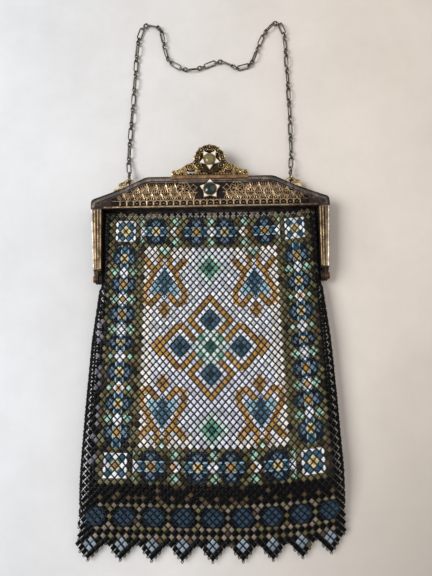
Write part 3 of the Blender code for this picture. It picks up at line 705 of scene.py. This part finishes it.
def mesh_panel(front):
    """One panel's plates, its rings, and the number of plates."""
    side = "front" if front else "back"
    place = front_place if front else back_place
    rng = np.random.default_rng(11 if front else 12)
    plates, rings = seats(front)
    # Slot 0, the plates' sides and undersides, is nearly black: painted shade in the gaps.
    finishes = [plate_side_gap_shade]
    for name in NAMES:
        for k, shade in enumerate(SHADES):
            colour = tuple(min(255, value * shade) for value in COLOURS[name])
            finishes.append(bpy.data.materials.get(f"enamel_{name}_{k}")
                            or enamel(f"enamel_{name}_{k}", colour, 0.42))

    s, y = side_layout(front, plates[:, 0], plates[:, 1])
    at, across, up, out = settings(place, s, y)
    across, up, out = tilted(across, up, out, math.radians(2.6), rng)
    body, faces, spots = plate_body()
    size = np.stack([pitch_at(plates[:, 1]), np.full(len(y), ROW_PITCH), np.ones(len(y))], 1)
    plan = body[None] * size[:, None] * (PLATE_SHARE, PLATE_SHARE, 1)
    points = (at[:, None] + plan[:, :, :1] * across[:, None] + plan[:, :, 1:2] * up[:, None]
              + plan[:, :, 2:] * out[:, None])
    shape = Shape()
    shape.points.append(points.reshape(-1, 3))
    n, bare = len(body), len(faces) - len(spots)
    shades = rng.choice(len(SHADES), (len(plates), 1), p=(0.25, 0.5, 0.25))
    slots = 1 + enamel_print(plates, spots * PLATE_SHARE) * len(SHADES) + shades
    for k, row in enumerate(slots.tolist()):
        shape.faces += [tuple(i + k * n for i in face) for face in faces]
        shape.slots += [0] * bare + row
    panel = shape.piece(f"{side}_mesh_plates", finishes, smooth=0)

    at, across, up, out = settings(place, *side_layout(front, rings[:, 0], rings[:, 1]))
    across, up, out = tilted(across, up, out, math.radians(6), rng)
    body, faces = ring((0, 0, -0.22), 0.62, 0.17, "XY", 8, 3)
    points = (at[:, None] + body[None, :, :1] * across[:, None] + body[None, :, 1:2] * up[:, None]
              + body[None, :, 2:] * out[:, None])
    shape = Shape()
    shape.points.append(points.reshape(-1, 3))
    shape.faces = [tuple(i + k * len(body) for i in face) for k in range(len(rings)) for face in faces]
    shape.slots = [0] * len(shape.faces)
    loops = shape.piece(f"{side}_mesh_rings", [linkwork_and_gap_shade], smooth=60)
    return panel, loops, len(plates)


def pouch():
    for front in (True, False):
        panel, loops, count = mesh_panel(front)
        for made in (panel, loops):
            if front:
                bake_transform(made)
            else:
                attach(made, "root")
        nodes = ("front_mesh_lower", "front_mesh_upper") if front else ("back_mesh",)
        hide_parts(*nodes)


pouch()


# Frame

BAR_TOP, SHOULDER, FLAT_TOP = 87.0, (48.0, 80.3), 34.0
SLOT_PITCH, SLOT_ROW, SLOTS_EACH_SIDE = 3.55, 72.2, 13
RAIL, GILT, ARM_GILT, ARM_DARK, ARM_GREY_HIGHLIGHT = range(5)  # the relief's material slots


def both(points):
    """The points for the right side and, mirrored and in reverse order, the left one, as one run."""
    points = [tuple(p) for p in points]
    return [(-p[0], *p[1:]) for p in reversed(points)] + points


def rail_height(x, drop):
    x = abs(x)
    if x < FLAT_TOP:
        return BAR_TOP - drop
    if x < SHOULDER[0]:
        return BAR_TOP + (x - FLAT_TOP) / (SHOULDER[0] - FLAT_TOP) * (SHOULDER[1] - BAR_TOP) - drop
    return SHOULDER[1] + (x - SHOULDER[0]) / (61.1 - SHOULDER[0]) * (75.4 - SHOULDER[1]) - drop


def rail_run(drop, z, end=60.6):
    """The run of the rail's moulding, a given drop below the bar's outline."""
    points = [(32.5 - drop * 0.3, BAR_TOP - drop, z), (35.0 - drop * 0.3, BAR_TOP - 0.5 - drop, z)]
    points += [(x, rail_height(x, drop), z) for x in (38, 41, 44, 47, 50, 53, 56, 59, end)]
    return both([(8, BAR_TOP - drop, z), (16, BAR_TOP - drop, z), (24, BAR_TOP - drop, z), *points])


def in_ornament(x, upper):
    return abs(x) < 6.4 or upper and (abs(abs(x) - 14.3) < 4.2 or abs(abs(x) - 8.9) < 2.2)


def frame_rails(shape):
    """The mouldings of the rail, and the beads above and below the slots."""
    corner = [(62.0, 70.6, 9.3), (62.0, 72.4, 9.3), (61.5, 73.5, 9.3)]
    run = rail_run(1.55, 9.3, 59.8)
    run = [(-x, y, z) for x, y, z in corner] + run + corner[::-1]
    shape.add(tube(evenly(np.array(run), 1.5)[0], 1.3, 10, flat=0.38), RAIL)
    shape.add(tube(evenly(np.array(rail_run(3.15, 9.5, 53)), 2)[0], 0.22, 6), RAIL)
    shape.add(tube(evenly(np.array(rail_run(0.35, 9.35, 60.2)), 2)[0], 0.3, 6), RAIL)
    shape.add(tube(line((-56.5, 70.45, 9.5), (56.5, 70.45, 9.5), 60), 0.5, 8, flat=0.8), GILT)
    shape.add(tube(line((-52.2, 73.75, 9.45), (52.2, 73.75, 9.45), 60), 0.2, 6), GILT)


def frame_band(shape):
    """The pierced band, its slots and the rings in them."""
    for i in range(-SLOTS_EACH_SIDE - 1, SLOTS_EACH_SIDE + 2):
        x = i * SLOT_PITCH
        if abs(i) <= SLOTS_EACH_SIDE:
            shape.add(ring((x, SLOT_ROW, 8.95), 0.72, 0.2, "XZ", 12, 6), GILT)
            shape.add(tube(circle((x, 73.0, 9.5), 1.1, 7, 0, 180), 0.2, 5), GILT)
        if i <= SLOTS_EACH_SIDE:
            post = x + SLOT_PITCH / 2
            if abs(post) < 51:
                shape.add(tube(line((post, 71.2, 9.45), (post, 73.5, 9.45)), 0.42, 8, flat=0.7), GILT)
                shape.add(ball((post, 74.15, 9.5), 0.36), GILT)


def frame_lattice(shape):
    """Wires over the webs between the triangular openings, and one across each opening."""
    for row, (low, high) in enumerate(((74.5, 77.9), (78.2, 83.0))):
        upper = row == 1
        spots = []
        for i in range(-19, 20):
            x = (i + 0.5) * 2.5
            top = min(high, rail_height(x, 3.4))
            if in_ornament(x, upper) or top - low < 1.6:
                spots.append(None)
                continue
            point_up = (i + row) % 2
            spots.append((x, top if point_up else low, 9.5))
            tip, foot = (top, low) if point_up else (low, top)
            shape.add(tube([(x, tip, 9.42), (x, foot, 9.42)], 0.13, 5), GILT)
            for side in (-1, 1):
                shape.add(tube([(x, tip, 9.45), (x + side * 1.2, foot, 9.45)], 0.19, 5), GILT)
        for a, b in zip(spots, spots[1:]):
            if a and b:
                shape.add(tube([a, b], 0.24, 6), GILT)
        for spot in spots:
            if spot:
                shape.add(ball(spot, 0.42, 0.8), GILT)
    for side in (-1, 1):
        shape.add(tube(line((side * 6.6, 78.05, 9.5), (side * 50, 78.05, 9.5), 30), 0.2, 6), GILT)


def frame_ornaments(shape):
    """On each side a six-petalled rosette, a diamond, a cross of four beads, and two scrolls."""
    for side in (-1, 1):
        x, y = side * 14.3, 80.2
        for petal in range(6):
            turn = math.radians(60 * petal + 30)
            loop = []
            for k in range(10):
                a = 2 * math.pi * k / 10
                along, wide = 2.05 + 1.15 * math.cos(a), 0.72 * math.sin(a)
                loop.append((x + along * math.cos(turn) - wide * math.sin(turn),
                             y + along * math.sin(turn) + wide * math.cos(turn), 9.5))
            shape.add(tube(loop, 0.2, 6, True), GILT)
        shape.add(ball((x, y, 9.55), 0.85, 0.7, 10, 6), GILT)
        shape.add(ring((x, y, 9.45), 3.6, 0.22, count=24), GILT)
        x, y = side * 8.9, 80.5
        corners = [(x - 1.9, y, 9.5), (x, y - 1.9, 9.5), (x + 1.9, y, 9.5), (x, y + 1.9, 9.5)]
        shape.add(tube(np.array(corners), 0.25, 6, True), GILT)
        for spot in corners:
            shape.add(ball(spot, 0.4), GILT)
        x, y = side * 20.6, 80.4
        for k in range(4):
            turn = math.radians(90 * k)
            shape.add(ball((x + 1.05 * math.cos(turn), y + 1.05 * math.sin(turn), 9.5), 0.72, 0.8), GILT)
        shape.add(ball((x, y, 9.8), 0.5), GILT)
        for x in (44.5, 48.5):  # small scrolls where the band narrows
            y = rail_height(x, 3.6) - 1.2
            turns = np.radians(np.linspace(0, 470, 16))
            reach = np.linspace(1.15, 0.25, 16)
            curl = [(side * (x + q * math.cos(a)), y + q * math.sin(a), 9.5) for a, q in zip(turns, reach)]
            shape.add(tube(curl, 0.2, 6), GILT)


def arm_edge(y, share):
    """X on an arm at a share of its width, from its inner edge."""
    along = (69.4 - y) / (69.4 - 29.9)
    inner, outer = 57.8 - 0.6 * along, 63.5 - 2.6 * along
    return inner + (outer - inner) * share


def frame_arms(shape):
    """Ribs along each arm, the outermost light grey as a painted highlight, rows of beads between them, and
    bands across its ends.
    """
    for side in (-1, 1):
        ribs = ((0.1, 0.42, ARM_GILT, 37.5), (0.36, 0.42, ARM_GILT, 37.0), (0.9, 0.62, ARM_GREY_HIGHLIGHT, 36.8))
        for share, wire, slot, end in ribs:
            run = [(side * arm_edge(y, share), y, 9.2) for y in np.linspace(69.3, end, 12)]
            shape.add(tube(run, wire, 8), slot)
        run = [(side * arm_edge(y, 0.66), y, 9.15) for y in np.linspace(69.3, 37.0, 12)]
        shape.add(tube(run, 0.55, 8, flat=0.7), ARM_GILT)
        for y in np.arange(68.4, 37.4, -1.25):
            shape.add(ball((side * arm_edge(y, 0.23), y, 9.3), 0.34), ARM_DARK)
            shape.add(ball((side * arm_edge(y, 0.5), y, 9.3), 0.3), ARM_DARK)
        shape.add(tube([(side * 57.9, 69.55, 9.25), (side * 63.2, 69.55, 9.25)], 0.62, 10, flat=0.7), RAIL)
        for y, slot in ((37.4, ARM_GILT), (36.6, ARM_DARK)):
            shape.add(tube([(side * arm_edge(y, 0.02), y, 9.2), (side * arm_edge(y, 0.98), y, 9.2)],
                           0.36, 8, flat=0.8), slot)


def frame_half(front):
    shape = Shape()
    for part in (frame_rails, frame_band, frame_lattice, frame_ornaments, frame_arms):
        part(shape)
    name = "front_frame_relief" if front else "back_frame_relief"
    made = shape.piece(name, [rail_metal, gilt, arm_gilt, arm_dark, arm_grey_highlight], flip=not front)
    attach(made, "front_frame" if front else "root")


def knuckles():
    for front in (True, False):
        shape = Shape()
        for side in (-1, 1):
            for x in ((59.45, 60.5) if front else (57.55, 58.5)):
                shape.add(ring((side * x, 32.5, 4.85), 2.62, 0.26, "YZ", 28, 6))
        name = "front_knuckle_beads" if front else "back_knuckle_beads"
        made = shape.piece(name, [arm_dark])
        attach(made, "front_frame" if front else "root")


for is_front in (True, False):
    frame_half(is_front)
knuckles()


# Star and crest


def star_points(name, centre, base, reach, spread, low, high, point_up, body, node):
    """Five separate bevelled triangles of ivory enamel in gilt settings round a stone."""
    enamelled, settings_shape = Shape(), Shape()
    for k in range(5):
        turn = math.radians((90 if point_up else -90) + 72 * k)

        def turned(along, wide):
            return (centre[0] + along * math.cos(turn) - wide * math.sin(turn),
                    centre[1] + along * math.sin(turn) + wide * math.cos(turn))

        outline = [turned(base, -spread), turned(reach, 0), turned(base, spread)]
        enamelled.add(slab(outline, low + 0.15, high, 0.22))
        foot = base - 0.25
        wide = [turned(foot, -spread - 0.4), turned(reach + 0.45, 0), turned(foot, spread + 0.4)]
        settings_shape.add(slab(wide, low, low + 0.45, 0.12))
    bezel = ring((*centre, low + 0.45), base - 0.1, 0.3, count=28)
    settings_shape.add(bezel)
    made = enamelled.piece(f"{name}_enamel", [ivory], smooth=0)
    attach(made, body)
    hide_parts(node)
    made = settings_shape.piece(f"{name}_settings", [crest_gilt])
    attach(made, body)


def spiral(centre, radius, turns, start, wire, z, hand=1):
    angles = np.linspace(0, 360 * turns, int(14 * turns))
    reach = np.linspace(radius, radius * 0.22, len(angles))
    run = [(centre[0] + q * math.cos(math.radians(start + hand * a)),
            centre[1] + q * math.sin(math.radians(start + hand * a)), z) for a, q in zip(angles, reach)]
    return tube(run, np.linspace(wire, wire * 0.8, len(run)), 7)


def crest_relief():
    """Loops, beads and scrolls on the swinging crest, then the rope on the strip below it."""
    shape = Shape()
    middle = (0.0, 96.5)
    for k in range(9):
        turn = math.radians(90 + 40 * k)
        x, y = middle[0] + 7.1 * math.cos(turn), middle[1] + 7.1 * math.sin(turn)
        if y < 92.4:
            continue
        shape.add(ring((x, y, 9.5), 1.5, 0.34, count=18, sides=8))
        for j in range(12):
            a = 2 * math.pi * j / 12
            bead = (x + 1.5 * math.cos(a), y + 1.5 * math.sin(a), 9.75)
            shape.add(ball(bead, 0.26, sides=6, rings=4))
        shape.add(ball((x, y, 9.55), 0.62, sides=8, rings=5))
        between = math.radians(110 + 40 * k)
        for reach, bead in ((8.3, 0.5), (6.2, 0.42)):
            spot = (reach * math.cos(between), middle[1] + reach * math.sin(between), 9.6)
            shape.add(ball(spot, bead))
    for k in range(24):
        turn = math.radians(15 * k)
        spot = (5.75 * math.cos(turn), middle[1] + 5.75 * math.sin(turn), 9.1)
        shape.add(ball(spot, 0.4, sides=6, rings=4))
    for side in (-1, 1):
        for x, y, radius, start, hand in ((10.4, 92.9, 2.3, 120, 1), (14.3, 91.0, 1.8, 100, 1),
                                          (17.2, 89.9, 1.25, 90, 1), (6.4, 90.9, 1.6, 60, -1)):
            where = (side * x, y)
            begin = start if side > 0 else 180 - start
            shape.add(spiral(where, radius, 1.8, begin, 0.36, 8.6, side * hand))
            shape.add(ball((*where, 8.7), 0.42))
        shape.add(tube(through([(side * 8.2, 95.6, 8.5), (side * 12.2, 94.2, 8.5), (side * 15.6, 91.9, 8.5),
                                (side * 18.6, 90.4, 8.5)]), 0.32, 7))
        shape.add(ring((side * 19.2, 89.5, 8.45), 1.25, 0.4, count=18, sides=8))
        shape.add(ball((side * 19.2, 89.5, 8.5), 0.6))
        for k in range(7):
            a = math.radians(50 * k)
            bead = (side * (19.2 + 1.25 * math.cos(a)), 89.5 + 1.25 * math.sin(a), 8.8)
            shape.add(ball(bead, 0.24, sides=6, rings=4))
    for i in range(-11, 12):
        shape.add(ball((i * 1.55, 88.85, 8.35), 0.55, sides=8, rings=5))
    for x, y in ((0, 90.6), (-2.4, 90.2), (2.4, 90.2), (-4.2, 89.9), (4.2, 89.9)):
        shape.add(ring((x, y, 8.6), 0.95, 0.28, count=14))
    made = shape.piece("crest_relief", [crest_gilt])
    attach(made, "crest")

    shape = Shape()
    for y in (85.55, 86.95):
        shape.add(tube(line((-20.4, y, 10.75), (20.4, y, 10.75), 20), 0.28, 6))
    for i in range(-16, 17):
        shape.add(ball((i * 1.25, 86.25, 10.75), 0.34, sides=6, rings=4))
    made = shape.piece("crest_strip_rope", [tan])
    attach(made, "front_frame")


star_points("star", (0.0, 79.6), 3.7, 5.5, 1.5, 9.85, 10.75, True, "front_frame", "star_collar")
star_points("crest_star", (0.0, 96.8), 3.35, 5.9, 1.5, 8.6, 9.8, False, "crest", "crest_star_collar")
crest_relief()


# Chain lugs


def lug_relief():
    shape = Shape()
    for side in (-1, 1):
        def at(x, y, z=4.8):
            return (side * x, y, z)

        runs = (
            [at(41.0, 84.4), at(41.6, 86.3), at(42.8, 87.4), at(44.5, 87.9), at(46.2, 87.2), at(47.4, 86.2)],
            [at(44.6, 83.2), at(47.0, 84.6), at(49.6, 84.8)],
            [at(46.4, 82.0), at(49.0, 82.6), at(52.6, 81.2)],
            [at(47.2, 86.0), at(49.2, 85.6), at(50.0, 84.2)],
        )
        for run in runs:
            shape.add(tube(through(run), 0.3, 6))
        shape.add(ring(at(44.5, 85.4), 1.65, 0.3, count=18))
        for x, y in ((42.0, 84.4), (47.6, 83.2), (50.6, 82.6), (48.6, 85.0), (46.9, 84.9), (52.2, 81.6)):
            shape.add(ball(at(x, y), 0.5))
        for k in range(8):
            a = math.radians(20 + 45 * k)
            bead = at(44.5 + 1.65 * math.cos(a), 85.4 + 1.65 * math.sin(a), 5.0)
            shape.add(ball(bead, 0.28, sides=6, rings=4))
    made = shape.piece("lug_relief", [lug_gilt])
    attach(made, "root")


lug_relief()


# Finishes of the CAD pieces that are shown

# The pierced plates take the near-black painted shade of the band's openings.
FINISHES = {
    "front_bar": bar_metal, "back_bar": bar_metal, "front_pierced_plate": gilt_dark_opening_shade,
    "back_pierced_plate": gilt_dark_opening_shade, "front_arm_left": arm_dark, "front_arm_right": arm_dark,
    "back_arm_left": arm_dark, "back_arm_right": arm_dark, "hinge_pin_left": copper,
    "hinge_pin_right": copper, "star_stone": green_glass, "crest_base": tan,
    "crest_pivot_pin": gilt_dark_opening_shade, "crest_spring": gilt_dark_opening_shade, "crest_plate": crest_dark,
    "crest_rim": crest_dark, "crest_stone": yellow_glass, "latch_hook": nickel, "lug_left": lug_gilt,
    "lug_right": lug_gilt, "chain_end_ring_left": nickel, "chain_end_ring_right": nickel,
}
for node, finish in FINISHES.items():
    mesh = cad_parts[node].data
    mesh.materials.clear()
    mesh.materials.append(finish)


# Table, light and air


def floor():
    mesh = bpy.data.meshes.new("table")
    reach = 6.0
    mesh.from_pydata([(-reach, -reach, 0), (reach, -reach, 0), (reach, reach, 0), (-reach, reach, 0)],
                     [], [(0, 1, 2, 3)])
    made = bpy.data.objects.new("table", mesh)
    scene.collection.objects.link(made)
    made.location.z = -0.00015
    n = Nodes("table_paper")
    tone = n.spread(n.noise(14, 6, 0.65), 0.3, 0.7, 0.0, 1.0)
    # Cool on the left and warm on the right: painted light, for the cool window light and the warm room
    # light.
    cool = n.mix(tone, linear((226, 227, 228)), linear((211, 211, 211)))
    warm = n.mix(tone, linear((236, 225, 212)), linear((222, 211, 198)))
    x, y = n.axis("X"), n.axis("Y")
    painted_light_tint = n.mix(n.spread(x, -0.1, 0.1, 0, 1), cool, warm)
    # Painted shade: the bottom-right corner is darkened towards (182, 173, 163).
    corner = n.spread(n.maths("SUBTRACT", x, y), 0.1, 0.26, 0, 1)
    n.link(n.mix(corner, painted_light_tint, linear((182, 173, 163))), n.shader.inputs["Base Color"])
    n.shader.inputs["Roughness"].default_value = 0.8
    n.bump(n.noise(160, 6), 0.35, 0.0005)
    mesh.materials.append(n.material)


def light(name, place, size, power, colour, aim=(0, 0.02, 0)):
    lamp = bpy.data.lights.new(name, "AREA")
    lamp.size, lamp.energy, lamp.color = size, power, colour
    made = bpy.data.objects.new(name, lamp)
    scene.collection.objects.link(made)
    made.location = place
    made.rotation_euler = (Vector(aim) - Vector(place)).to_track_quat("-Z", "Y").to_euler()


floor()
light("window", (-0.6, 0.08, 0.62), 0.45, 6.6, (0.965, 0.98, 1.0))
light("room", (0.5, 0.35, 0.8), 0.9, 1.9, (1.0, 0.86, 0.72))
world = bpy.data.worlds.new("air")
scene.world = world
world.use_nodes = True
world.node_tree.nodes["Background"].inputs["Color"].default_value = (0.93, 0.95, 1.0, 1)
world.node_tree.nodes["Background"].inputs["Strength"].default_value = 0.36
